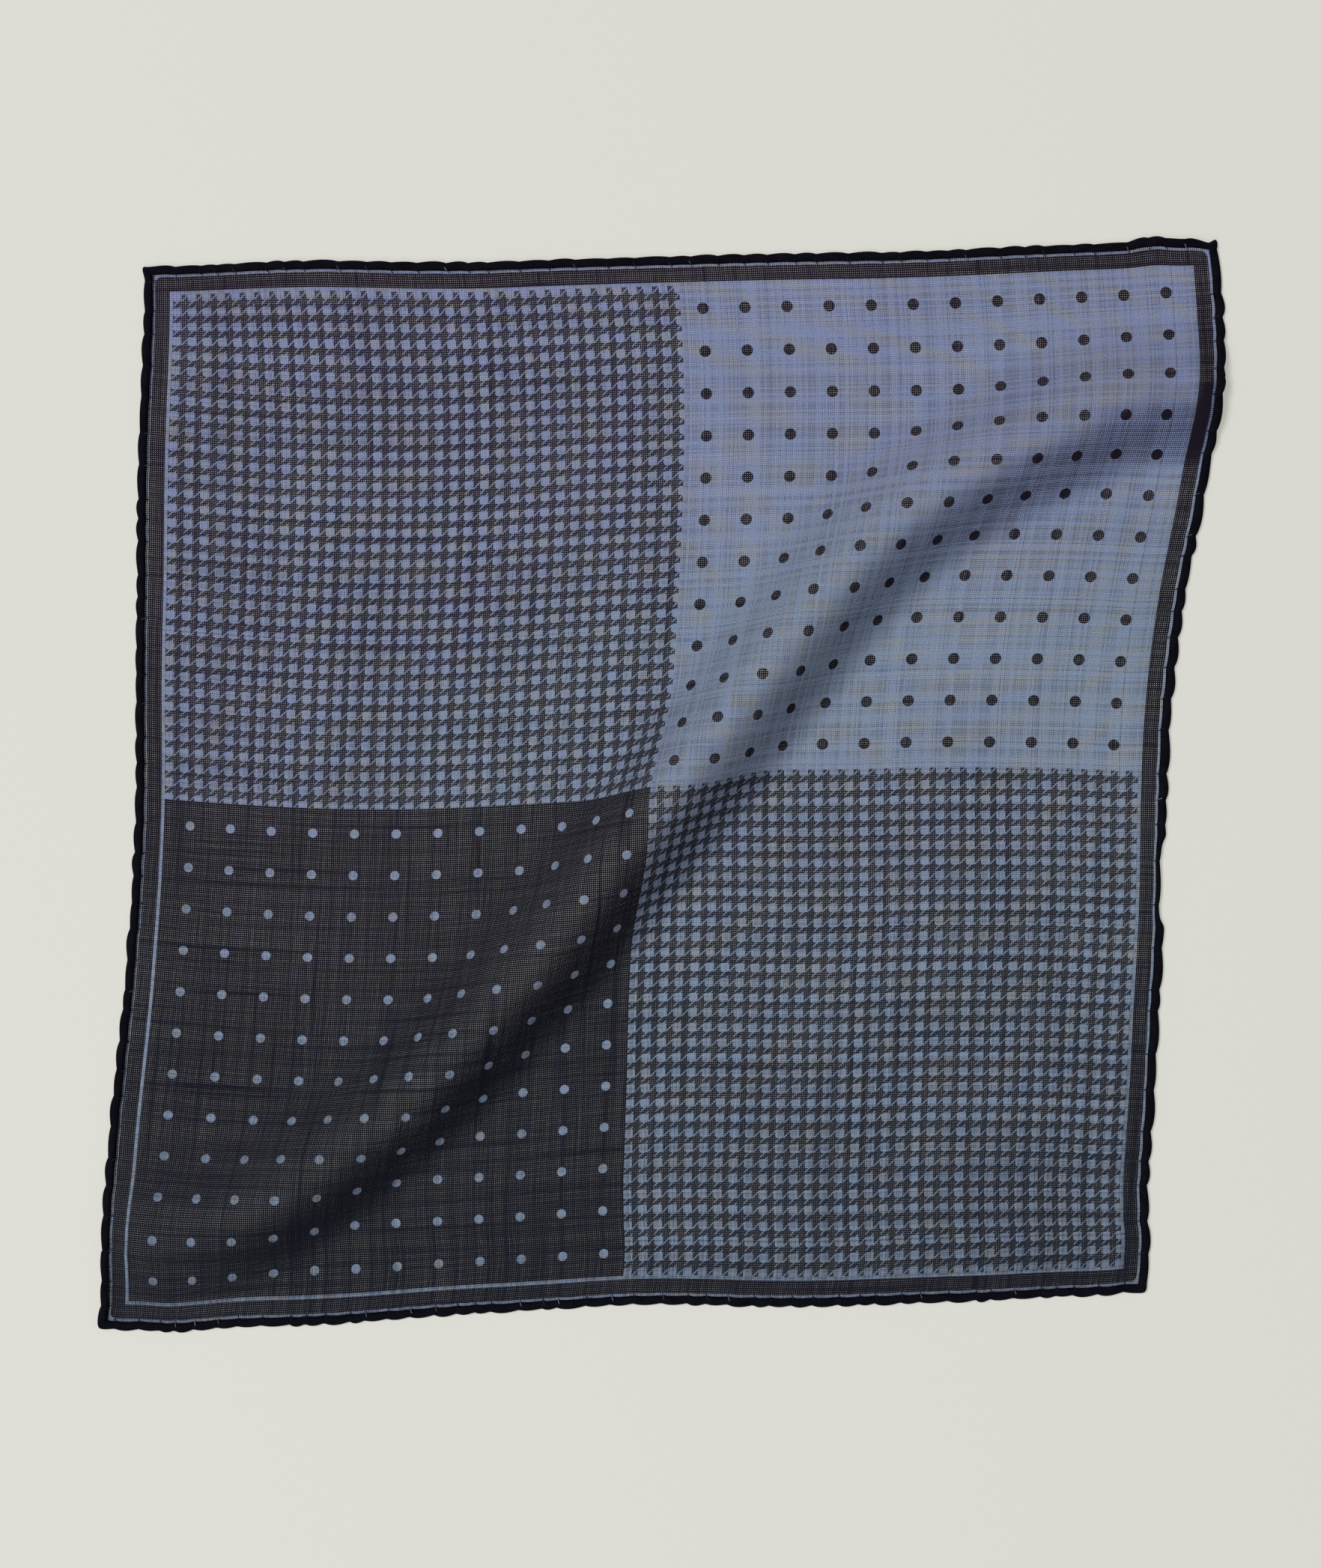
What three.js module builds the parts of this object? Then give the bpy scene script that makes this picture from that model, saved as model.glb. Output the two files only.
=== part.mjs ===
// A square pocket handkerchief of thin woven cloth with a hand-rolled hem.
// It lies open and flat on a surface, and one soft ridge runs across it from corner to corner.
// Millimetres, +Z up. The origin is under the middle of the outline, on the surface.

import * as THREE from 'three';
import { mergeVertices } from 'three/addons/utils/BufferGeometryUtils.js';

// Driving dimensions

const SIDE = 330; // the flat cloth, hem to hem, both ways
const SHEET_THICKNESS = 1;
const HEM_WIDTH = 2.6;
const HEM_THICKNESS = 2.1;
const HEM_EDGE_THICKNESS = 0.8;
const CELLS = 38; // panels across the cloth between the two hems

// The upper left corner of the laid cloth, seen from above
const CORNER = { x: -160, y: 161 };

// The ridge, seen from above, from the lower left corner to the upper right one.
// Its crest stands `height` over the surface. The slopes end flat on the surface,
// `upper` away from the crest on its upper left and `lower` away on its lower right.
const RIDGE = [
  { x: -155, y: -140, height: 6.5, upper: 25, lower: 27 },
  { x: -123, y: -129, height: 13.5, upper: 25, lower: 26 },
  { x: -79, y: -97, height: 15, upper: 22, lower: 24 },
  { x: -37, y: -52, height: 16, upper: 23, lower: 24 },
  { x: 12, y: 10, height: 18, upper: 22, lower: 25 },
  { x: 69, y: 78, height: 15, upper: 25, lower: 24 },
  { x: 128, y: 112, height: 11, upper: 26, lower: 24 },
  { x: 160, y: 121, height: 6, upper: 24, lower: 25 },
];
const STEPS_PER_STATION = 8;

// The edges, at seven even stations from the upper left corner on.
// `across` and `down` are the headings, in degrees, of the threads along the top and left edges.
// The last four columns say how far each edge of the cloth is pulled outwards.
const EDGES = [
  { across: -5.5, down: -84, left: -2.5, right: 0, top: -3, bottom: 1.5 },
  { across: -2, down: -90.5, left: 2, right: 0.5, top: 2.5, bottom: 4 },
  { across: 3, down: -93.5, left: 1, right: 0, top: 1.5, bottom: 1 },
  { across: 2, down: -92, left: -1, right: -0.5, top: 0.5, bottom: 1.5 },
  { across: 0.5, down: -94, left: 0, right: -1, top: 0.5, bottom: 2 },
  { across: 3, down: -96.5, left: 1, right: -1.5, top: 1, bottom: 1 },
  { across: 5, down: -99, left: -3, right: -1.5, top: -0.5, bottom: -3 },
];
const PULL_REACH = 45; // how far into the cloth the pull of an edge is felt

// The rolled hem's section: how thick the roll is at a distance from the edge
const HEM_SECTION = [
  { from: 0, thickness: HEM_EDGE_THICKNESS },
  { from: 0.2 * HEM_WIDTH, thickness: 0.85 * HEM_THICKNESS },
  { from: 0.5 * HEM_WIDTH, thickness: HEM_THICKNESS },
  { from: 0.8 * HEM_WIDTH, thickness: 0.85 * HEM_THICKNESS },
  { from: HEM_WIDTH, thickness: SHEET_THICKNESS },
];

// Smooth curve through one column of a table; place counts rows from 0
function smooth(table, column, place) {
  const last = table.length - 1;
  const i = Math.min(Math.floor(place), last - 1);
  const t = place - i;
  const value = (k) => table[Math.min(Math.max(k, 0), last)][column];
  const slope = (k) => (value(k + 1) - value(k - 1)) / (k === 0 || k === last ? 1 : 2);
  const rise = t * t * (3 - 2 * t);
  const leave = t * (1 - t) * (1 - t);
  const arrive = t * t * (t - 1);
  return value(i) * (1 - rise) + value(i + 1) * rise + slope(i) * leave + slope(i + 1) * arrive;
}

// The ridge as short straight steps
function ridgeSteps() {
  const count = (RIDGE.length - 1) * STEPS_PER_STATION;
  return Array.from({ length: count + 1 }, (_, k) => {
    const place = k / STEPS_PER_STATION;
    const at = (column) => smooth(RIDGE, column, place);
    return { x: at('x'), y: at('y'), height: at('height'), upper: at('upper'), lower: at('lower') };
  });
}
const STEPS = ridgeSteps();

// Height of the cloth's underside over the surface, at a place seen from above
function heightAt(x, y) {
  let best = { distance: Infinity };
  for (let k = 0; k + 1 < STEPS.length; k += 1) {
    const [a, b] = [STEPS[k], STEPS[k + 1]];
    const [dx, dy] = [b.x - a.x, b.y - a.y];
    const share = THREE.MathUtils.clamp(((x - a.x) * dx + (y - a.y) * dy) / (dx * dx + dy * dy), 0, 1);
    const distance = Math.hypot(x - a.x - share * dx, y - a.y - share * dy);
    const onLowerSide = (x - a.x) * dy - (y - a.y) * dx > 0;
    if (distance < best.distance) best = { distance, a, b, share, onLowerSide };
  }
  const between = (column) => THREE.MathUtils.lerp(best.a[column], best.b[column], best.share);
  const reach = between(best.onLowerSide ? 'lower' : 'upper');
  if (best.distance >= reach) return 0;
  return between('height') * 0.5 * (1 + Math.cos((Math.PI * best.distance) / reach));
}

const PROBE = 0.01;

function slopeAt(x, y) {
  return {
    x: (heightAt(x + PROBE, y) - heightAt(x - PROBE, y)) / (2 * PROBE),
    y: (heightAt(x, y + PROBE) - heightAt(x, y - PROBE)) / (2 * PROBE),
  };
}

// Distances of the thread lines from one edge: close over the hems, even between them
function threadLines() {
  const hem = HEM_SECTION.map((row) => row.from);
  const inner = Array.from({ length: CELLS - 1 }, (_, k) => (
    HEM_WIDTH + ((k + 1) * (SIDE - 2 * HEM_WIDTH)) / CELLS
  ));
  return [...hem, ...inner, ...hem.map((d) => SIDE - d).reverse()];
}
const LINES = threadLines();

const onCloth = (x, y) => new THREE.Vector3(x, y, heightAt(x, y));

// The next point along a thread that leaves `from` at a heading, `length` away over the cloth
function alongThread(from, heading, length) {
  const direction = THREE.MathUtils.degToRad(heading);
  let reach = length;
  let point = from;
  for (let round = 0; round < 4; round += 1) {
    point = onCloth(from.x + reach * Math.cos(direction), from.y + reach * Math.sin(direction));
    reach *= length / point.distanceTo(from);
  }
  return point;
}

// Where two threads cross: `lengthA` from point a and `lengthB` from point b, over the cloth
function crossing(a, b, start, lengthA, lengthB) {
  let { x, y } = start;
  for (let round = 0; round < 8; round += 1) {
    const point = onCloth(x, y);
    const slope = slopeAt(x, y);
    const fromA = point.clone().sub(a);
    const fromB = point.clone().sub(b);
    const errorA = fromA.lengthSq() - lengthA * lengthA;
    const errorB = fromB.lengthSq() - lengthB * lengthB;
    const ax = 2 * (fromA.x + fromA.z * slope.x);
    const ay = 2 * (fromA.y + fromA.z * slope.y);
    const bx = 2 * (fromB.x + fromB.z * slope.x);
    const by = 2 * (fromB.y + fromB.z * slope.y);
    const scale = ax * by - ay * bx;
    x -= (errorA * by - errorB * ay) / scale;
    y -= (errorB * ax - errorA * bx) / scale;
  }
  return onCloth(x, y);
}

// The cloth's threads keep their length over the ridge, so the cloth draws in beside it.
// grid[j][i] is the crossing of thread line i from the left with thread line j from the top.
function laidThreads() {
  const grid = LINES.map(() => []);
  const heading = (column, k) => smooth(EDGES, column, ((EDGES.length - 1) * (LINES[k] + LINES[k - 1])) / (2 * SIDE));
  grid[0][0] = onCloth(CORNER.x, CORNER.y);
  for (let k = 1; k < LINES.length; k += 1) {
    const length = LINES[k] - LINES[k - 1];
    grid[0][k] = alongThread(grid[0][k - 1], heading('across', k), length);
    grid[k][0] = alongThread(grid[k - 1][0], heading('down', k), length);
  }
  for (let j = 1; j < LINES.length; j += 1) {
    for (let i = 1; i < LINES.length; i += 1) {
      const [left, above, corner] = [grid[j][i - 1], grid[j - 1][i], grid[j - 1][i - 1]];
      const start = { x: left.x + above.x - corner.x, y: left.y + above.y - corner.y };
      grid[j][i] = crossing(left, above, start, LINES[i] - LINES[i - 1], LINES[j] - LINES[j - 1]);
    }
  }
  return grid;
}

// Pull of an edge, fading into the cloth
function pull(column, alongEdge, fromEdge) {
  if (fromEdge >= PULL_REACH) return 0;
  const t = fromEdge / PULL_REACH;
  const fade = (1 - t) * (1 - t) * (1 + 2 * t);
  return fade * smooth(EDGES, column, ((EDGES.length - 1) * alongEdge) / SIDE);
}

function pulledPoint(point, fromLeft, fromTop) {
  const x = point.x - pull('left', fromTop, fromLeft) + pull('right', fromTop, SIDE - fromLeft);
  const y = point.y + pull('top', fromLeft, fromTop) - pull('bottom', fromLeft, SIDE - fromTop);
  return onCloth(x, y);
}

// Thickness of the cloth at a place on it: the sheet's, or the roll's where a hem is near
function thicknessAt(fromLeft, fromTop) {
  const fromEdge = Math.min(fromLeft, SIDE - fromLeft, fromTop, SIDE - fromTop);
  const near = (row) => Math.abs(row.from - fromEdge) < 1e-6;
  const row = HEM_SECTION.find(near);
  return row ? row.thickness : SHEET_THICKNESS;
}

function offsetAlongNormal(point, distance) {
  const slope = slopeAt(point.x, point.y);
  const normal = new THREE.Vector3(-slope.x, -slope.y, 1).normalize();
  return point.clone().addScaledVector(normal, distance);
}

// One closed skin: the upper side, the underside, and the narrow edge that joins them
function clothGeometry() {
  const count = LINES.length;
  const threads = laidThreads();
  const under = [];
  const over = [];
  for (let j = 0; j < count; j += 1) {
    for (let i = 0; i < count; i += 1) {
      const point = pulledPoint(threads[j][i], LINES[i], LINES[j]);
      under.push(point);
      over.push(offsetAlongNormal(point, thicknessAt(LINES[i], LINES[j])));
    }
  }
  const underSide = (j, i) => j * count + i;
  const overSide = (j, i) => count * count + j * count + i;
  const faces = [];
  for (let j = 0; j + 1 < count; j += 1) {
    for (let i = 0; i + 1 < count; i += 1) {
      // The panels are split along the ridge, from lower left to upper right
      faces.push(overSide(j, i), overSide(j + 1, i), overSide(j, i + 1));
      faces.push(overSide(j, i + 1), overSide(j + 1, i), overSide(j + 1, i + 1));
      faces.push(underSide(j, i), underSide(j, i + 1), underSide(j + 1, i));
      faces.push(underSide(j, i + 1), underSide(j + 1, i + 1), underSide(j + 1, i));
    }
  }
  const closeEdge = (from, to) => {
    faces.push(overSide(...from), overSide(...to), underSide(...from));
    faces.push(overSide(...to), underSide(...to), underSide(...from));
  };
  for (let k = 0; k + 1 < count; k += 1) {
    closeEdge([0, k], [0, k + 1]);
    closeEdge([k, count - 1], [k + 1, count - 1]);
    closeEdge([count - 1, k + 1], [count - 1, k]);
    closeEdge([k + 1, 0], [k, 0]);
  }
  const geometry = new THREE.BufferGeometry().setFromPoints([...under, ...over]);
  geometry.setIndex(faces);
  return geometry;
}

// The outline's middle goes over the origin
function centred(geometry) {
  geometry.computeBoundingBox();
  const middle = geometry.boundingBox.getCenter(new THREE.Vector3());
  geometry.translate(-middle.x, -middle.y, 0);
  return geometry;
}

const clothMaterial = new THREE.MeshStandardMaterial({ color: 0x696e7c, roughness: 0.9, metalness: 0 });

const pocketSquare = new THREE.Mesh(centred(mergeVertices(clothGeometry())), clothMaterial);
pocketSquare.name = 'pocket_square';
pocketSquare.geometry.computeVertexNormals();

const part = new THREE.Group();
part.add(pocketSquare);

export default part;
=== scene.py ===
"""A pocket square of thin open-weave cloth with a hand-rolled hem, lying open on a pale surface.

One soft ridge runs across it from the lower left to the upper right. Its four quarters are
houndstooth, dark dots on light blue, light dots on navy, and houndstooth again.
Lengths are in millimetres and become metres where a mesh is made. A place on the flat cloth is
given as across and down, in millimetres from its upper left corner.
"""
import math

import bpy
import numpy as np
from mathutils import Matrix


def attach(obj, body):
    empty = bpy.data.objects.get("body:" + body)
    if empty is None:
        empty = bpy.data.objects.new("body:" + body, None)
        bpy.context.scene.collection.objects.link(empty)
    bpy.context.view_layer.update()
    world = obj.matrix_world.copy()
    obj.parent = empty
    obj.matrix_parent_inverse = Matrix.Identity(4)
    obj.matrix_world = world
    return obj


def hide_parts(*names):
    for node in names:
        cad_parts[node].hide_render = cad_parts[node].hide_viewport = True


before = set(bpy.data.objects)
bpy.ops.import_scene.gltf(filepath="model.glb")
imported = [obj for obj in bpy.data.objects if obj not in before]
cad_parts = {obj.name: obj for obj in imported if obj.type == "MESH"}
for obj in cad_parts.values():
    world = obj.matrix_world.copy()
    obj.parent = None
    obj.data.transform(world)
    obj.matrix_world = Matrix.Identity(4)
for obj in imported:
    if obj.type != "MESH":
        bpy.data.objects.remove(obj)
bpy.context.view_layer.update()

MM = 0.001

# The flat cloth, and the roll of its hem
SIDE = 330.0
HEM_WIDTH = 2.5
HEM_THICKNESS = 1.75
HEM_GROUND_GAP = 0.03
HEM_MIDDLE = 0.38  # height of the roll's widest line, as a share of its thickness

# The laid shape, as in the part, seen from above with x to the right and y up
CORNER = (-160.0, 161.0)  # the upper left one
# The ridge from its lower left end: where its line runs, its height, how far its upper and lower
# slopes reach, and how strongly the lower one is darkened, by yarns that close up there and by
# painted shade on their print
RIDGE_COLUMNS = ("x", "y", "height", "upper", "lower", "lower_slope_darkening")
RIDGE = [
    (-155, -140, 6.5, 25, 27, 0.6),
    (-123, -129, 13.5, 25, 26, 1.3),
    (-79, -97, 15, 22, 24, 1),
    (-37, -52, 16, 23, 24, 1),
    (12, 10, 18, 22, 25, 1),
    (69, 78, 15, 25, 24, 1.8),
    (128, 112, 11, 26, 24, 4.2),
    (160, 121, 6, 24, 25, 11),
]
RIDGE_TOP = 18.0
STEPS_PER_STATION = 8
THREAD_ROUNDS = 4  # of closing in on a thread's next point
CROSSING_ROUNDS = 5  # of closing in on the place where two threads cross
# Stations along the edges: the headings in degrees of the top thread from the left and of the left
# thread from the top, then how far each edge is pulled out
EDGE_COLUMNS = ("across", "down", "left", "right", "top", "bottom")
EDGES = [
    (-5.5, -84, -2.5, 0, -3, 1.5),
    (-2, -90.5, 2, 0.5, 2.5, 4),
    (3, -93.5, 1, 0, 1.5, 1),
    (2, -92, -1, -0.5, 0.5, 1.5),
    (0.5, -94, 0, -1, 0.5, 2),
    (3, -96.5, 1, -1.5, 1, 1),
    (5, -99, -3, -1.5, -0.5, -3),
]
PULL_REACH = 45.0

# How far the sheet hovers over the surface beside the ridge: rows from the top of the cloth,
# columns from its left
HOVER = np.array([
    (0.10, 0.10, 0.12),
    (0.12, 0.13, 0.15),
    (0.15, 0.20, 0.20),
])
HOVER_WAVE = 0.02
HOVER_WAVE_SCALES = (11.0, 13.0)  # across, down
HOVER_BENDS = (1.3, 1.7)
HOVER_BEND_SCALES = (23.0, 19.0)
# Likewise, what is added to half of a yarn's width, as a share of the pitch
WIDENING = np.array([
    (0.000, 0.000, 0.010),
    (0.005, 0.000, 0.000),
    (0.020, 0.024, 0.042),
])

SHEET_CELLS = 220
SHEET_INSET = 1.0  # the sheet's own edge lies inside the roll, this far from the hem's edge

# The hem bulges between the stitches that draw it in: for each side, clockwise, the seed of its
# random draws, the nearest and furthest stitches, and the least and largest bulge
HEM_SIDES = [
    ("top", 11, 5.0, 11.0, 0.25, 0.60),
    ("right", 12, 6.0, 14.0, 0.40, 1.00),
    ("bottom", 13, 4.5, 9.0, 0.35, 0.90),
    ("left", 14, 6.0, 11.0, 0.30, 0.85),
]
FIRST_GAP_OUTSIDE = (0.2, 0.8)  # the least and most of the first gap that lies before the side begins
BULGE_REACH = 2.4  # how far in a bulge is felt
BULGE_LEAN = 1.3  # above 1, bulges are fullest past their middle
BULGE_BLUNTNESS = 0.7  # below 1, bulges are blunter than half a wave
# Single waves of the edge: where along a side, clockwise, their half length, how far in they reach,
# how square they are, and how far they push the edge out
WAVES = [
    ("top", 311, 6.0, 8.0, 2, 1.5),
    ("top", 321.5, 2.0, 3.0, 2, 0.5),
    ("top", 328, 3.0, 4.0, 2, -1.3),
    ("right", 199, 13.0, 1.6, 12, -1.6),
    ("right", 298, 26.0, 30.0, 2, -1.0),
]
# Small ears at the corners: where they are, and how far they push across and down
EARS = [
    (0, 0, -0.5, -0.2),
    (SIDE, 0, -0.7, -0.9),
    (SIDE, SIDE, 0.6, 0.3),
]
EAR_REACH = 2.2
HEM_STEP = 0.75
ROLL_SIDES = 14
ROLL_GIRTH = 7.0
CORNER_ROUNDING = 1.5
CORNER_BLUNTNESS = 0.7  # 1 rounds the corners off in full, 0 leaves them square

STITCH_PATH = np.array([(1.5, 1.80), (2.0, 1.66), (2.45, 1.20), (2.8, 0.66), (3.2, 0.42)])  # inset, rise
STITCH_RADIUS = 0.13
STITCH_SIDES = 6
STITCH_SLANT = 0.5
STITCH_FREE_END = 4.0  # no stitch is nearer than this to a corner


def column(table, names, name):
    """One named column of a table."""
    return np.array([row[names.index(name)] for row in table], float)


def smooth(values, place):
    """Smooth curve through evenly spaced values; place counts them from 0."""
    place = np.asarray(place, float)
    i = np.clip(np.floor(place).astype(int), 0, len(values) - 2)
    t = place - i
    slopes = np.gradient(values)
    rise = t * t * (3 - 2 * t)
    ends = values[i] * (1 - rise) + values[i + 1] * rise
    return ends + slopes[i] * t * (1 - t) ** 2 + slopes[i + 1] * t * t * (t - 1)


def ridge_steps():
    """The ridge as short straight steps."""
    place = np.arange((len(RIDGE) - 1) * STEPS_PER_STATION + 1) / STEPS_PER_STATION
    return {name: smooth(column(RIDGE, RIDGE_COLUMNS, name), place) for name in RIDGE_COLUMNS}


STEPS = ridge_steps()


def beside_ridge(x, y):
    """For places seen from above: distance from the ridge's line, whether below it, and its values."""
    dx, dy = np.diff(STEPS["x"]), np.diff(STEPS["y"])
    from_x = np.asarray(x, float)[..., None] - STEPS["x"][:-1]
    from_y = np.asarray(y, float)[..., None] - STEPS["y"][:-1]
    share = np.clip((from_x * dx + from_y * dy) / (dx**2 + dy**2), 0, 1)
    distance = np.hypot(from_x - share * dx, from_y - share * dy)
    step = distance.argmin(-1)

    def nearest(values):
        return np.take_along_axis(values, step[..., None], -1)[..., 0]

    share, distance, side = nearest(share), nearest(distance), nearest(from_x * dy - from_y * dx)
    values = {name: STEPS[name][step] * (1 - share) + STEPS[name][step + 1] * share for name in STEPS}
    return distance, side > 0, values


def ridge_height(x, y):
    """Height of the cloth over the surface, at places seen from above."""
    distance, below, ridge = beside_ridge(x, y)
    reach = np.where(below, ridge["lower"], ridge["upper"])
    return ridge["height"] * 0.5 * (1 + np.cos(np.pi * np.minimum(distance / reach, 1)))


def on_cloth(x, y):
    """The points of the laid cloth at places seen from above."""
    return np.stack([x, y, ridge_height(x, y)], -1)


def along_thread(start, heading, length):
    """The next point of a thread that leaves start at a heading."""
    reach = length
    for _ in range(THREAD_ROUNDS):
        point = on_cloth(start[0] + reach * math.cos(heading), start[1] + reach * math.sin(heading))
        reach *= length / np.linalg.norm(point - start)
    return point


def crossings(a, b, start, length):
    """Where threads cross that run one length from points a and one length from points b."""
    x, y = start[:, 0], start[:, 1]
    probe = 0.001
    for _ in range(CROSSING_ROUNDS):
        point = on_cloth(x, y)
        slope_x = (ridge_height(x + probe, y) - point[:, 2]) / probe
        slope_y = (ridge_height(x, y + probe) - point[:, 2]) / probe
        from_a, from_b = point - a, point - b
        error_a = (from_a**2).sum(1) - length**2
        error_b = (from_b**2).sum(1) - length**2
        ax, ay = (2 * (from_a[:, k] + from_a[:, 2] * slope) for k, slope in enumerate((slope_x, slope_y)))
        bx, by = (2 * (from_b[:, k] + from_b[:, 2] * slope) for k, slope in enumerate((slope_x, slope_y)))
        scale = ax * by - ay * bx
        x = x - (error_a * by - error_b * ay) / scale
        y = y - (error_b * ax - error_a * bx) / scale
    return on_cloth(x, y)


def laid_threads(cells):
    """The cloth's threads keep their length over the ridge, so the cloth draws in beside it.

    Row j, column i of the result is where thread i from the left crosses thread j from the top.
    """
    length = SIDE / cells
    stations = (np.arange(cells) + 0.5) / cells * (len(EDGES) - 1)
    grid = np.zeros((cells + 1, cells + 1, 3))
    grid[0, 0] = on_cloth(*CORNER)
    across = np.radians(smooth(column(EDGES, EDGE_COLUMNS, "across"), stations))
    down = np.radians(smooth(column(EDGES, EDGE_COLUMNS, "down"), stations))
    for k in range(cells):
        grid[0, k + 1] = along_thread(grid[0, k], across[k], length)
        grid[k + 1, 0] = along_thread(grid[k, 0], down[k], length)
    for diagonal in range(2, 2 * cells + 1):
        i = np.arange(max(1, diagonal - cells), min(cells, diagonal - 1) + 1)
        j = diagonal - i
        left, above = grid[j, i - 1], grid[j - 1, i]
        grid[j, i] = crossings(left, above, left + above - grid[j - 1, i - 1], length)
    return pulled(grid, np.linspace(0, SIDE, cells + 1))


def pulled(grid, lines):
    """The grid with each edge drawn out or in by its own pull, which fades into the cloth."""
    stations = lines / SIDE * (len(EDGES) - 1)
    pull = {name: smooth(column(EDGES, EDGE_COLUMNS, name), stations) for name in EDGE_COLUMNS[2:]}
    t = np.minimum(lines / PULL_REACH, 1)
    near = (1 - t) ** 2 * (1 + 2 * t)
    far = near[::-1]
    x = grid[..., 0] - np.outer(pull["left"], near) + np.outer(pull["right"], far)
    y = grid[..., 1] + np.outer(near, pull["top"]) - np.outer(far, pull["bottom"])
    return np.stack([x, y], -1)


LAID = laid_threads(SHEET_CELLS)
MIDDLE = (LAID.reshape(-1, 2).min(0) + LAID.reshape(-1, 2).max(0)) / 2


def laid(across, down):
    """Where a place on the flat cloth lies, seen from above, before the part is centred."""
    i = np.clip(np.asarray(across) / SIDE, 0, 1) * SHEET_CELLS
    j = np.clip(np.asarray(down) / SIDE, 0, 1) * SHEET_CELLS
    i0 = np.minimum(i.astype(int), SHEET_CELLS - 1)
    j0 = np.minimum(j.astype(int), SHEET_CELLS - 1)
    a, b = (i - i0)[..., None], (j - j0)[..., None]
    top = LAID[j0, i0] * (1 - a) + LAID[j0, i0 + 1] * a
    low = LAID[j0 + 1, i0] * (1 - a) + LAID[j0 + 1, i0 + 1] * a
    return top * (1 - b) + low * b


def normals(xy):
    """Directions square to the cloth at places seen from above."""
    x, y = xy[..., 0], xy[..., 1]
    probe = 0.5
    slope_x = (ridge_height(x + probe, y) - ridge_height(x - probe, y)) / (2 * probe)
    slope_y = (ridge_height(x, y + probe) - ridge_height(x, y - probe)) / (2 * probe)
    normal = np.stack([-slope_x, -slope_y, np.ones_like(x)], -1)
    return normal / np.linalg.norm(normal, axis=-1, keepdims=True)


def seated(xy, over):
    """Points in the part's frame, in metres, that stand over the underside of the cloth."""
    base = np.concatenate([xy - MIDDLE, ridge_height(xy[..., 0], xy[..., 1])[..., None]], -1)
    return (base + normals(xy) * np.asarray(over)[..., None]) * MM


class Scallops:
    """The bulges of one side of the hem, between stitches at uneven places along it."""

    def __init__(self, seed, nearest, furthest, least, most):
        dice = np.random.default_rng(seed)
        gaps = dice.uniform(nearest, furthest, int(SIDE / nearest) + 2)
        self.stitches = np.cumsum(gaps) - gaps[0] * dice.uniform(*FIRST_GAP_OUTSIDE)
        self.sizes = dice.uniform(least, most, len(gaps))
        self.first = self.stitches[0] - gaps[0]

    def bulge(self, along):
        """How far the hem stands out at a place along the side."""
        k = np.searchsorted(self.stitches, along)
        before = np.where(k > 0, self.stitches[np.maximum(k - 1, 0)], self.first)
        share = np.clip((along - before) / (self.stitches[k] - before), 0, 1)
        return self.sizes[k] * np.sin(np.pi * share**BULGE_LEAN) ** BULGE_BLUNTNESS


SCALLOPS = {side: Scallops(*values) for side, *values in HEM_SIDES}


def on_side(side, along, inset):
    """The place on the flat cloth that lies along a side, clockwise, and some way inside it."""
    along, inset = np.broadcast_arrays(along, inset)
    across, down = {
        "top": (along, inset),
        "right": (SIDE - inset, along),
        "bottom": (SIDE - along, SIDE - inset),
        "left": (inset, SIDE - along),
    }[side]
    return np.stack([across, down], -1).astype(float)


OUTWARD = {"top": (0, 1), "right": (1, 0), "bottom": (0, -1), "left": (-1, 0)}


def from_side(side, across, down):
    """How far along a side, clockwise, and how far inside it places on the flat cloth are."""
    return {
        "top": (across, down),
        "right": (down, SIDE - across),
        "bottom": (SIDE - across, SIDE - down),
        "left": (SIDE - down, across),
    }[side]


def pushed_out(side, along, inset):
    """How far the bulges and waves of one side push places out."""
    push = SCALLOPS[side].bulge(along) * np.exp(-inset / BULGE_REACH)
    for wave_side, middle, length, depth, squareness, out in WAVES:
        if wave_side == side:
            fade = np.exp(-(np.abs((along - middle) / length) ** squareness))
            push = push + out * fade * np.exp(-inset / depth)
    return push


def worked(places):
    """Where places on the cloth lie once the bulges, waves and corner ears of its edge are in it."""
    across, down = places[..., 0], places[..., 1]
    shift = np.zeros(places.shape)
    for side, outward in OUTWARD.items():
        push = pushed_out(side, *from_side(side, across, down))
        shift += push[..., None] * np.array(outward, float)
    for ear_across, ear_down, push_across, push_down in EARS:
        away = np.hypot(across - ear_across, down - ear_down)
        shift += np.exp(-((away / EAR_REACH) ** 2))[..., None] * np.array([push_across, -push_down])
    return laid(across, down) + shift


def new_piece(name, points, faces, places):
    """A smooth mesh object; places on the cloth become its UVs."""
    mesh = bpy.data.meshes.new(name)
    mesh.from_pydata(points.reshape(-1, 3).tolist(), [], faces.tolist())
    layer = mesh.uv_layers.new(name="cloth")
    corners = np.zeros(len(mesh.loops), int)
    mesh.loops.foreach_get("vertex_index", corners)
    uvs = places.reshape(-1, 2) / SIDE
    uvs[:, 1] = 1 - uvs[:, 1]
    layer.data.foreach_set("uv", uvs[corners].ravel())
    mesh.polygons.foreach_set("use_smooth", [True] * len(mesh.polygons))
    piece = bpy.data.objects.new(name, mesh)
    bpy.context.collection.objects.link(piece)
    return piece


def grid_faces(rows, columns, wrap_rows=False, wrap_columns=False):
    """Quads of a grid of points, closed on itself in either way where asked."""
    j = np.arange(rows if wrap_rows else rows - 1)[:, None]
    i = np.arange(columns if wrap_columns else columns - 1)[None, :]
    below, beside = (j + 1) % rows, (i + 1) % columns
    corners = [j * columns + i, below * columns + i, below * columns + beside, j * columns + beside]
    return np.stack(corners, -1).reshape(-1, 4)


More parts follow.
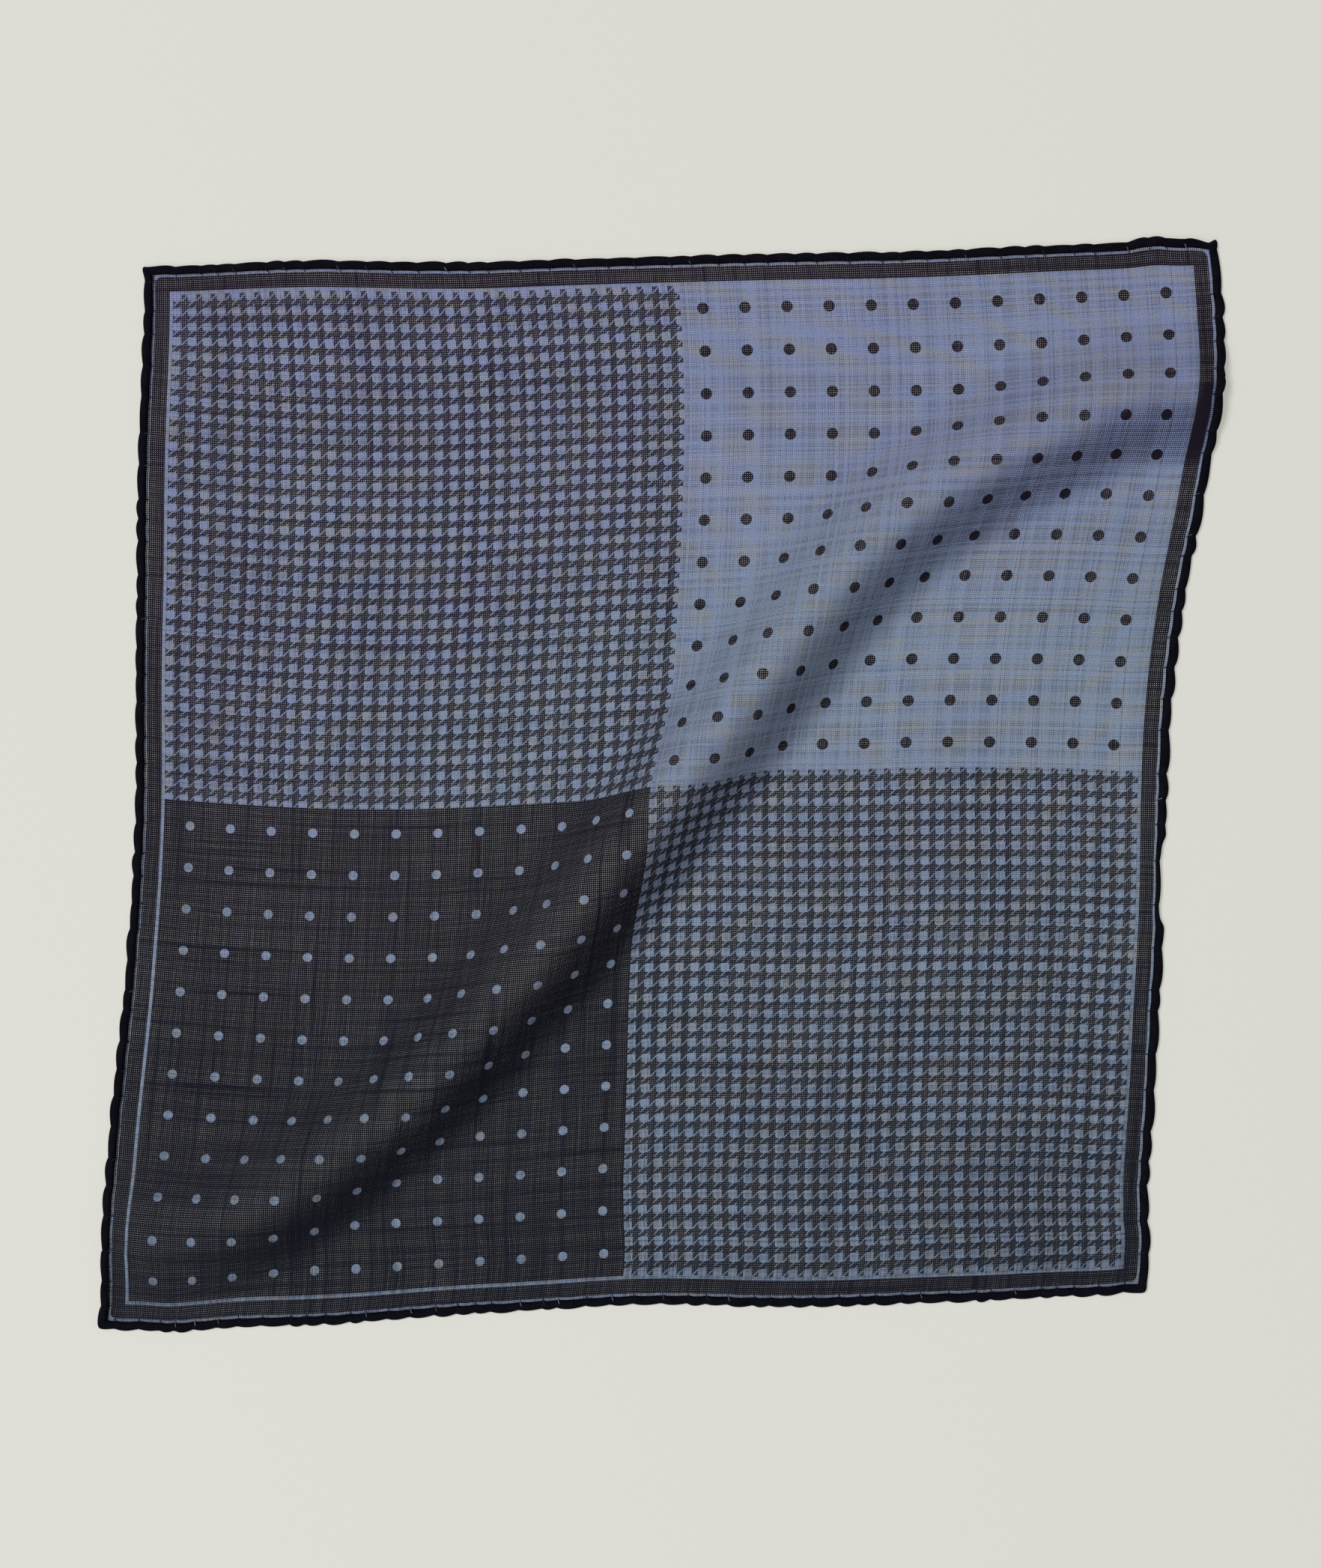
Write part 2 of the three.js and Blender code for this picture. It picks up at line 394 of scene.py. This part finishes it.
def keep(piece, name, values):
    """Stores a value at each point of a piece, for its material."""
    attribute = piece.data.attributes.new(name, "FLOAT", "POINT")
    attribute.data.foreach_set("value", values.ravel())


def spread(table, places):
    """Values between those of a table whose rows and columns cover the whole cloth evenly."""
    across, down = places[0, :, 0], places[:, 0, 1]
    steps = len(table) - 1
    rows = np.array([smooth(values, down / SIDE * steps) for values in table.T]).T
    return np.array([smooth(row, across / SIDE * steps) for row in rows])


def hover(places):
    """How far the sheet hovers over the surface: the table's values, with soft waves."""
    waves = 0
    for k in range(2):
        here, beside = places[..., k], places[..., 1 - k]
        bend = HOVER_BENDS[k] * np.sin(beside / HOVER_BEND_SCALES[k])
        waves = waves + np.sin(here / HOVER_WAVE_SCALES[k] + bend)
    return spread(HOVER, places) + HOVER_WAVE * waves


def make_sheet():
    """The woven sheet between the hems, one layer thick."""
    lines = np.linspace(SHEET_INSET, SIDE - SHEET_INSET, SHEET_CELLS + 1)
    places = np.stack(np.meshgrid(lines, lines), -1)
    xy = worked(places)
    sheet = new_piece("woven_sheet", seated(xy, hover(places)), grid_faces(*places.shape[:2]), places)
    closing, slope_shade = slope_effects(xy)
    keep(sheet, "closing", closing + spread(WIDENING, places))
    keep(sheet, "slope_shade", slope_shade)
    return sheet


def slope_effects(xy):
    """How the yarns close up on the ridge's slopes, and the painted shade that darkens their printed tops
    there.
    """
    steepness = 1 - normals(xy)[..., 2]
    below, ridge = beside_ridge(xy[..., 0], xy[..., 1])[1:]
    crowding = np.where(below, CROWDING_ON_LOWER_SLOPE * ridge["lower_slope_darkening"], CROWDING_ON_UPPER_SLOPE)
    parting = ridge_height(xy[..., 0], xy[..., 1]) / RIDGE_TOP * PARTING_ON_TOP
    # painted shade: the print is darkened on the slopes, the more the steeper, and most on the lower
    # slope, which faces away from the light
    slope_shade = np.where(below, SLOPE_SHADE_ON_LOWER * ridge["lower_slope_darkening"], SLOPE_SHADE_ON_UPPER) * steepness
    return steepness * crowding - parting, slope_shade


def rounded(places):
    """The places with the cloth's four corners rounded off."""
    inner = np.clip(places, CORNER_ROUNDING, SIDE - CORNER_ROUNDING)
    out = places - inner
    square = np.abs(out).max(-1, keepdims=True)
    circle = np.linalg.norm(out, axis=-1, keepdims=True)
    drawn_in = np.where(circle > 0, square / np.maximum(circle, 1e-9), 1)
    return inner + out * drawn_in**CORNER_BLUNTNESS


def hem_line(inset):
    """Places along a line that runs at one distance inside the four edges."""
    steps = round(SIDE / HEM_STEP)
    along = inset + (SIDE - 2 * inset) * np.arange(steps) / steps
    return rounded(np.concatenate([on_side(side, along, inset) for side in SCALLOPS]))


def make_hem():
    """The rolled hem: a flattened roll round the whole cloth, drawn in at its stitches."""
    rings, places = [], []
    for k in range(ROLL_SIDES):
        angle = 2 * math.pi * k / ROLL_SIDES
        line = hem_line(HEM_WIDTH / 2 * (1 - math.cos(angle)))
        swing = HEM_MIDDLE if math.sin(angle) < 0 else 1 - HEM_MIDDLE
        rise = HEM_GROUND_GAP + HEM_THICKNESS * (HEM_MIDDLE + swing * math.sin(angle))
        rings.append(seated(worked(line), np.full(len(line), rise)))
        along = np.arange(len(line)) * HEM_STEP
        places.append(np.stack([along, np.full(len(line), ROLL_GIRTH * k / ROLL_SIDES)], -1))
    points = np.stack(rings, 1)
    faces = grid_faces(*points.shape[:2], wrap_rows=True, wrap_columns=True)
    return new_piece("rolled_hem", points, faces[:, ::-1], np.stack(places, 1))


def make_stitches():
    """Slip stitches that catch the roll to the cloth, one in each dip between two bulges."""
    angles = np.arange(STITCH_SIDES) / STITCH_SIDES * 2 * math.pi
    inset = STITCH_PATH[:, 0, None] + 0 * angles
    rise = STITCH_PATH[:, 1, None] + STITCH_RADIUS * np.sin(angles)
    lean = STITCH_SLANT * (inset - HEM_WIDTH)
    tubes, places = [], []
    for side, scallops in SCALLOPS.items():
        inside = np.abs(scallops.stitches - SIDE / 2) < SIDE / 2 - STITCH_FREE_END
        for stitch in scallops.stitches[inside]:
            along = stitch + lean + STITCH_RADIUS * np.cos(angles)
            places.append(on_side(side, along, inset))
            tubes.append(seated(worked(places[-1]), rise))
    rings = len(STITCH_PATH)
    one = grid_faces(rings, STITCH_SIDES, wrap_columns=True)
    faces = np.concatenate([one + k * rings * STITCH_SIDES for k in range(len(tubes))])
    return new_piece("hem_stitches", np.stack(tubes), faces, np.stack(places))


# The weave, in a shader that reads places on the flat cloth; widths are shares of the pitch

WARP_PITCH = 0.600
WEFT_PITCH = 0.640
WEFT_SEED = 40.0
YARN_HALF_WIDTH = 0.372
CRIMP = 0.42  # how far yarns rise and dip where they cross, as a share of their full height
YARN_SWAY = 0.8  # of neighbouring yarns together
YARN_SWAY_SCALES = (70.0, 50.0)  # across the yarns, along them
# A yarn's own unevenness: how far the noise moves on from yarn to yarn, its scale along the yarn,
# and its size
YARN_WANDER = (5.31, 9.0, 0.10)
YARN_UNEVENNESS = (3.77, 60.0, 0.13)
YARN_SLUBS = (3.13, 70.0, 0.45)
SLUBS_FROM = 0.15  # the noise above which a yarn thickens
# What half a yarn's width loses under the print and on the ridge's top, and gains on its slopes,
# and how much painted shade darkens the printed tops there by lowering their height, as seen from above
THINNING_BY_PRINT = 0.045
PARTING_ON_TOP = 0.045
CROWDING_ON_UPPER_SLOPE = 0.10
CROWDING_ON_LOWER_SLOPE = 0.30
SLOPE_SHADE_ON_UPPER = 0.25
SLOPE_SHADE_ON_LOWER = 0.45

# The pattern

QUARTER = SIDE / 2
PALE_LINE_INSET = 3.15
PALE_LINE_CORNER = 1.8
FIELD_INSET = 7.6
MARGIN_LINE = 1.05
CHECK_REPEAT = 4.69
# In eighths of the repeat: half of a light check, its corners' fullness, half of a slanting line
# between checks, and where the lines lie beside and above the checks
CHECK_HALF = 2.1
CHECK_FULLNESS = 1.1
CHECK_LINE_HALF = 0.40
CHECK_LINES_BESIDE = 2.3
CHECK_LINES_ABOVE = 0.6
LIGHT_IN_GROUND = 0.06  # how much light yarn shows between the checks
UPPER_LEFT_CHECK = (10.0, 9.6)
LOWER_RIGHT_CHECK = (166.1, 165.6)
DOT_PITCH = 12.87
DARK_DOT = (171.8, 15.6)
DARK_DOT_RADIUS = 1.75
LIGHT_DOT = (16.9, 172.7)
LIGHT_DOT_RADIUS = 1.42
# The print lies on the yarns' tops only; it weakens towards the sides and the bottom
PRINT_STRENGTH = 0.99
PRINT_FROM_HEIGHT = 0.15
PRINT_EDGE = 3  # how steeply it sets in with the height
PRINT_WEAKER_BELOW = 0.4
PRINT_WEAKER_BESIDE = 0.5
PRINT_BY_YARN = 0.4  # how much it differs from yarn to yarn
PRINT_CLOUDS = 0.2
PRINT_CLOUD_SCALE = 40
PRINT_CLOUD_DETAIL = 1.0
# The two dyes drift from a purplish tone at the top to a greenish one at the bottom
NAVY_UPPER = (0.0130, 0.0080, 0.0185, 1)
NAVY_LOWER = (0.0090, 0.0100, 0.0170, 1)
LIGHT_UPPER = (0.248, 0.289, 0.510, 1)
LIGHT_LOWER = (0.238, 0.319, 0.456, 1)
DRIFT_START = -0.1
DRIFT_ACROSS = 0.3
DRIFT_DOWN = 1.4
DRIFT_CLOUDS = 0.6
DRIFT_CLOUD_SCALE = 80

# The materials: roughness and specular level, and the depth in metres and strength of their relief

CLOTH_FINISH = (0.85, 0.08)
CLOTH_RELIEF = (0.00010, 0.3)
HEM_DARK = (0.0018, 0.0018, 0.0040, 1)
HEM_LIGHT = (0.0070, 0.0070, 0.0125, 1)
HEM_CLOSING = 0.22
# painted shade: the hem is lighter on its yarns' tops and darker between them
HEM_PAINTED_SHADE = (0.7, -0.1)  # by the yarns' height, and everywhere
HEM_PATCH_SCALES = (4, 3)
HEM_PATCH_DETAIL = 2.0
HEM_FINISH = (0.8, 0.04)
HEM_RELIEF = (0.00015, 0.6)
STITCH_DARK = (0.010, 0.010, 0.018, 1)
STITCH_LIGHT = (0.25, 0.25, 0.28, 1)
STITCH_TWIST = 0.16
STITCH_TWIST_LIGHTNESS = 0.1
STITCH_PATCH_SCALE = 9
STITCH_PATCHES_FROM = 0.12
STITCH_PATCH_CONTRAST = 5
STITCH_FINISH = (0.7, 0.1)
STITCH_RELIEF = (0.00005, 0.5)


def operation(name):
    """A method that works out one kind of Math node."""
    def method(self, *others):
        return self.math(name, *others)
    return method


class Term:
    """A number in a shader, worked out by Math nodes from ordinary arithmetic."""

    def __init__(self, tree, socket):
        self.tree = tree
        self.socket = socket

    def math(self, name, *others):
        """The term that one Math node works out of this one and others, terms or plain numbers."""
        node = self.tree.nodes.new("ShaderNodeMath")
        node.operation = name
        for slot, value in zip(node.inputs, (self, *others)):
            if isinstance(value, Term):
                self.tree.links.new(value.socket, slot)
            else:
                slot.default_value = value
        return Term(self.tree, node.outputs[0])

    def __rsub__(self, other):
        return self * -1 + other

    def clamped(self):
        return self.math("MAXIMUM", 0).math("MINIMUM", 1)

    __add__ = __radd__ = operation("ADD")
    __sub__ = operation("SUBTRACT")
    __mul__ = __rmul__ = operation("MULTIPLY")
    __truediv__ = operation("DIVIDE")
    __lt__ = operation("LESS_THAN")
    __gt__ = operation("GREATER_THAN")
    __abs__ = operation("ABSOLUTE")
    floor = operation("FLOOR")
    wrap = operation("FLOORED_MODULO")
    larger = either = operation("MAXIMUM")
    smaller = both = operation("MINIMUM")


def mixed(share, a, b):
    """a where share is 0 and b where it is 1."""
    return a + share * (b - a)


def squared(term):
    return term * term


def noise(x, y, detail=0.0):
    """Soft noise round 0 at a place in the plane; it stays mostly within a quarter either way."""
    tree = x.tree
    place = tree.nodes.new("ShaderNodeCombineXYZ")
    tree.links.new(x.socket, place.inputs[0])
    tree.links.new(y.socket, place.inputs[1])
    node = tree.nodes.new("ShaderNodeTexNoise")
    node.noise_dimensions = "2D"
    node.inputs["Scale"].default_value = 1
    node.inputs["Detail"].default_value = detail
    tree.links.new(place.outputs[0], node.inputs["Vector"])
    return Term(tree, node.outputs[0]) - 0.5


def chance(number):
    """A random number from 0 to 1 that belongs to a whole number."""
    node = number.tree.nodes.new("ShaderNodeTexWhiteNoise")
    node.noise_dimensions = "1D"
    number.tree.links.new(number.socket, node.inputs["W"])
    return Term(number.tree, node.outputs[0])


def cloth_place(tree):
    """How far across and how far down the flat cloth a point is."""
    node = tree.nodes.new("ShaderNodeUVMap")
    node.uv_map = "cloth"
    split = tree.nodes.new("ShaderNodeSeparateXYZ")
    tree.links.new(node.outputs[0], split.inputs[0])
    return Term(tree, split.outputs[0]) * SIDE, (1 - Term(tree, split.outputs[1])) * SIDE


def kept(tree, name):
    """A value that is stored at the points of the piece."""
    node = tree.nodes.new("ShaderNodeAttribute")
    node.attribute_name = name
    return Term(tree, node.outputs["Fac"])


class Yarns:
    """One set of parallel yarns. Widths and places are shares of the pitch."""

    def __init__(self, across, along, pitch, closing, seed):
        sway = noise(across / YARN_SWAY_SCALES[0] + seed, along / YARN_SWAY_SCALES[1]) * YARN_SWAY
        lines = across / pitch + sway
        self.number = lines.floor()

        def own_noise(step, scale):
            return noise(self.number * step + seed, along / scale)

        step, scale, size = YARN_WANDER
        self.place = lines - self.number - 0.5 + own_noise(step, scale) * size
        step, scale, size = YARN_UNEVENNESS
        uneven = own_noise(step, scale) * size
        step, scale, size = YARN_SLUBS
        slubs = (own_noise(step, scale) - SLUBS_FROM).clamped() * size
        self.half = uneven + slubs + closing + YARN_HALF_WIDTH
        self.shade = chance(self.number + seed) - 0.5

    def covers(self):
        return abs(self.place) < self.half

    def roundness(self):
        """1 along the middle of a yarn, 0 at its edges."""
        return (1 - squared(self.place / self.half)).clamped()

    def crossing(self):
        """1 along the middle of a yarn, 0 halfway to the next one."""
        return 1 - squared(self.place * 2)


def weave(x, y, closing):
    """A plain weave: where yarns cover it, how high they stand there, and their own shades."""
    warp = Yarns(x, y, WARP_PITCH, closing, 0.0)
    weft = Yarns(y, x, WEFT_PITCH, closing, WEFT_SEED)
    over = 1 - (warp.number + weft.number).wrap(2) * 2
    warp_height = warp.roundness() * (over * weft.crossing() * CRIMP + (1 - CRIMP))
    weft_height = weft.roundness() * (over * warp.crossing() * -CRIMP + (1 - CRIMP))
    covered = warp.covers().either(weft.covers())
    return covered, warp_height.larger(weft_height), warp.shade + weft.shade


def houndstooth(x, y, check):
    """1 on the light checks and the thin slanting lines between them; one check's middle is given."""
    unit = CHECK_REPEAT / 8
    u = ((x - check[0]) / unit + 4).wrap(8) - 4
    v = ((y - check[1]) / unit + 4).wrap(8) - 4
    in_column = abs(u) < CHECK_HALF
    in_row = abs(v) < CHECK_HALF
    in_check = (squared(squared(u)) + squared(squared(v))) < (CHECK_HALF * CHECK_FULLNESS) ** 4
    lines_beside = in_row.both(1 - in_column).both(slanting_lines(u, v, CHECK_LINES_BESIDE))
    lines_above = in_column.both(1 - in_row).both(slanting_lines(u, v, CHECK_LINES_ABOVE))
    return in_check.either(lines_beside).either(lines_above).larger(LIGHT_IN_GROUND)


def slanting_lines(u, v, offset):
    """1 on thin lines that rise to the right, two to a repeat."""
    return abs((u + v - offset).wrap(4) - 2) < CHECK_LINE_HALF


def dots(x, y, first, radius):
    """1 on round dots in even rows and columns."""
    from_middle_x = (x - first[0] + DOT_PITCH / 2).wrap(DOT_PITCH) - DOT_PITCH / 2
    from_middle_y = (y - first[1] + DOT_PITCH / 2).wrap(DOT_PITCH) - DOT_PITCH / 2
    return (squared(from_middle_x) + squared(from_middle_y)) < radius**2


def light_print(x, y):
    """1 where the cloth is light blue: in the quarters, in their margin and along the hem."""
    right = x > QUARTER
    low = y > QUARTER
    inset_x = x.smaller(SIDE - x)
    inset_y = y.smaller(SIDE - y)
    inset = inset_x.smaller(inset_y)
    upper_left = houndstooth(x, y, UPPER_LEFT_CHECK)
    upper_right = 1 - dots(x, y, DARK_DOT, DARK_DOT_RADIUS)
    lower_left = dots(x, y, LIGHT_DOT, LIGHT_DOT_RADIUS)
    lower_right = houndstooth(x, y, LOWER_RIGHT_CHECK)
    quarters = mixed(low, mixed(right, upper_left, upper_right), mixed(right, lower_left, lower_right))
    field = (inset > FIELD_INSET).both(quarters.either(inset < FIELD_INSET + MARGIN_LINE))
    return field.either(beyond_rounded_square(inset_x, inset_y, PALE_LINE_INSET, PALE_LINE_CORNER))


def beyond_rounded_square(inset_x, inset_y, inset, radius):
    """1 between the cloth's edge and a square with round corners that lies inside it."""
    past_x = (inset + radius - inset_x).larger(0)
    past_y = (inset + radius - inset_y).larger(0)
    return (squared(past_x) + squared(past_y)) > radius**2


def new_material(name):
    """A material with its node tree and its output node."""
    material = bpy.data.materials.new(name)
    material.use_nodes = True
    tree = material.node_tree
    tree.nodes.clear()
    output = tree.nodes.new("ShaderNodeOutputMaterial")
    return material, tree, output


def matt(tree, colour, roughness, specular):
    """A matt surface whose colour comes from a socket."""
    shader = tree.nodes.new("ShaderNodeBsdfPrincipled")
    shader.inputs["Roughness"].default_value = roughness
    shader.inputs["Specular IOR Level"].default_value = specular
    tree.links.new(colour, shader.inputs["Base Color"])
    return shader


def colour_mix(tree, share, a, b):
    """A colour between a and b, which are colours or the sockets of other mixes."""
    node = tree.nodes.new("ShaderNodeMix")
    node.data_type = "RGBA"
    tree.links.new(share.socket, node.inputs["Factor"])
    for name, colour in (("A", a), ("B", b)):
        slot = next(s for s in node.inputs if s.name == name and s.type == "RGBA")
        if isinstance(colour, tuple):
            slot.default_value = colour
        else:
            tree.links.new(colour, slot)
    return next(s for s in node.outputs if s.type == "RGBA")


def bump(tree, height, distance, strength):
    """Normals for a relief whose height comes from a term."""
    node = tree.nodes.new("ShaderNodeBump")
    node.inputs["Distance"].default_value = distance
    node.inputs["Strength"].default_value = strength
    tree.links.new(height.socket, node.inputs["Height"])
    return node.outputs[0]


def print_strength(x, y, shade):
    """How well the yarns take the light blue at a place on the cloth."""
    clouds = noise(x / PRINT_CLOUD_SCALE, y / PRINT_CLOUD_SCALE, PRINT_CLOUD_DETAIL) * PRINT_CLOUDS
    weaker_below = squared(squared(y / SIDE)) * PRINT_WEAKER_BELOW
    weaker_beside = squared(x / SIDE - 0.5) * PRINT_WEAKER_BESIDE
    return clouds + shade * PRINT_BY_YARN - weaker_below - weaker_beside + PRINT_STRENGTH


def dye_drift(x, y):
    """How far the dyes are on their way from the upper tone to the lower one."""
    clouds = noise(x / DRIFT_CLOUD_SCALE, y / DRIFT_CLOUD_SCALE) * DRIFT_CLOUDS
    return ((x * DRIFT_ACROSS + y * DRIFT_DOWN) / SIDE + clouds + DRIFT_START).clamped()


def woven_material():
    """Open plain weave: navy yarns with gaps between them, light blue on top where it is printed."""
    material, tree, output = new_material("open_plain_weave")
    x, y = cloth_place(tree)
    light = light_print(x, y)
    covered, height, shade = weave(x, y, kept(tree, "closing") - light * THINNING_BY_PRINT)

    # the stored slope shade lowers the print's share on the ridge's slopes: painted shade
    on_top = ((height - kept(tree, "slope_shade") - PRINT_FROM_HEIGHT) * PRINT_EDGE).clamped()
    share = (light * on_top * print_strength(x, y, shade)).clamped()
    drift = dye_drift(x, y)
    navy = colour_mix(tree, drift, NAVY_UPPER, NAVY_LOWER)
    light_blue = colour_mix(tree, drift, LIGHT_UPPER, LIGHT_LOWER)
    colour = colour_mix(tree, share, navy, light_blue)
    cloth = matt(tree, colour, *CLOTH_FINISH)
    tree.links.new(bump(tree, height, *CLOTH_RELIEF), cloth.inputs["Normal"])

    gap = tree.nodes.new("ShaderNodeBsdfTransparent")
    mix = tree.nodes.new("ShaderNodeMixShader")
    tree.links.new(covered.socket, mix.inputs[0])
    tree.links.new(gap.outputs[0], mix.inputs[1])
    tree.links.new(cloth.outputs[0], mix.inputs[2])
    tree.links.new(mix.outputs[0], output.inputs[0])
    return material


def hem_material():
    """The same navy yarns, rolled up tight, so that no gaps show."""
    material, tree, output = new_material("rolled_navy")
    x, y = cloth_place(tree)
    height = weave(x, y, HEM_CLOSING)[1]
    patches = noise(x / HEM_PATCH_SCALES[0], y / HEM_PATCH_SCALES[1], HEM_PATCH_DETAIL)
    # painted shade: lighter where the yarns stand high, darker between them; the patches are random tone
    share = (height * HEM_PAINTED_SHADE[0] + HEM_PAINTED_SHADE[1] + patches).clamped()
    colour = colour_mix(tree, share, HEM_DARK, HEM_LIGHT)
    cloth = matt(tree, colour, *HEM_FINISH)
    tree.links.new(bump(tree, height + patches, *HEM_RELIEF), cloth.inputs["Normal"])
    tree.links.new(cloth.outputs[0], output.inputs[0])
    return material


def stitch_material():
    """Fine thread: most stitches navy, some catching the light blue of the print."""
    material, tree, output = new_material("stitch_thread")
    x, y = cloth_place(tree)
    twist = ((x + y) / STITCH_TWIST).wrap(1)
    patches = noise(x / STITCH_PATCH_SCALE, y / STITCH_PATCH_SCALE) - STITCH_PATCHES_FROM
    share = (patches * STITCH_PATCH_CONTRAST + twist * STITCH_TWIST_LIGHTNESS).clamped()
    colour = colour_mix(tree, share, STITCH_DARK, STITCH_LIGHT)
    cloth = matt(tree, colour, *STITCH_FINISH)
    tree.links.new(bump(tree, twist, *STITCH_RELIEF), cloth.inputs["Normal"])
    tree.links.new(cloth.outputs[0], output.inputs[0])
    return material


# The surface, the light and the camera, in metres

CAMERA_DISTANCE = 0.9
CAMERA_LEAN = math.radians(3)
VIEW_HEIGHT = 0.4836  # what the picture's height covers at the surface
SENSOR = 36.0  # in millimetres
FLOOR_SIZE = 40.0
FLOOR_CELLS = 8
# The surface is a frosted pane that is also lit from below
SURFACE_DARK = (0.393, 0.393, 0.362, 1)
SURFACE_LIGHT = (0.407, 0.407, 0.375, 1)
SURFACE_GRAIN = 900  # specks to a metre
SURFACE_FINISH = (0.9, 0.1)
SURFACE_GLOW = 0.9
# The lights' names, places and sizes, and their power in watts
LIGHTS = [
    ("key", (-2.70, 1.30, 4.63), 2.2, 196.0),
    ("fill", (-0.64, -1.10, 1.27), 0.8, 6.3),
]
SURROUND = 0.22


def make_floor():
    """The pale surface that the cloth lies on."""
    bpy.ops.mesh.primitive_grid_add(
        x_subdivisions=FLOOR_CELLS, y_subdivisions=FLOOR_CELLS, size=FLOOR_SIZE
    )
    floor = bpy.context.object
    floor.name = "pale_surface"
    material, tree, output = new_material("pale_surface")
    place = tree.nodes.new("ShaderNodeTexCoord")
    grain = tree.nodes.new("ShaderNodeTexNoise")
    grain.inputs["Scale"].default_value = SURFACE_GRAIN
    tree.links.new(place.outputs["Object"], grain.inputs["Vector"])
    tint = colour_mix(tree, Term(tree, grain.outputs[0]), SURFACE_DARK, SURFACE_LIGHT)
    surface = matt(tree, tint, *SURFACE_FINISH)
    tree.links.new(tint, surface.inputs["Emission Color"])
    surface.inputs["Emission Strength"].default_value = SURFACE_GLOW
    tree.links.new(surface.outputs[0], output.inputs[0])
    floor.data.materials.append(material)


def make_light(name, place, size, power):
    """A round soft light that shines at the middle of the cloth."""
    data = bpy.data.lights.new(name, "AREA")
    data.shape = "DISK"
    data.size = size
    data.energy = power
    light = bpy.data.objects.new(name, data)
    light.location = place
    x, y, z = place
    light.rotation_euler = (math.atan2(math.hypot(x, y), z), 0, math.atan2(y, x) + math.pi / 2)
    bpy.context.collection.objects.link(light)


def make_surround():
    """Even white light from all round."""
    world = bpy.data.worlds.new("studio")
    world.use_nodes = True
    background = world.node_tree.nodes["Background"]
    background.inputs["Color"].default_value = (1, 1, 1, 1)
    background.inputs["Strength"].default_value = SURROUND
    bpy.context.scene.world = world


def make_camera():
    """Nearly straight above, aimed at the point that the laid shape is measured from."""
    data = bpy.data.cameras.new("camera")
    data.sensor_width = SENSOR
    data.lens = SENSOR * CAMERA_DISTANCE / VIEW_HEIGHT
    camera = bpy.data.objects.new("camera", data)
    aim = -MIDDLE * MM
    camera.location = (
        aim[0],
        aim[1] + CAMERA_DISTANCE * math.sin(CAMERA_LEAN),
        CAMERA_DISTANCE * math.cos(CAMERA_LEAN),
    )
    camera.rotation_euler = (-CAMERA_LEAN, 0, 0)
    bpy.context.collection.objects.link(camera)
    bpy.context.scene.camera = camera


make_camera()
make_floor()
make_surround()
for row in LIGHTS:
    make_light(*row)
bpy.context.scene.view_settings.view_transform = "Standard"
bpy.context.scene.cycles.use_denoising = False

sheet = make_sheet()
hem = make_hem()
stitches = make_stitches()
materials = [woven_material(), hem_material(), stitch_material()]
for piece, material in zip([sheet, hem, stitches], materials):
    piece.data.materials.append(material)
    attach(piece, "root")
    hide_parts("pocket_square")
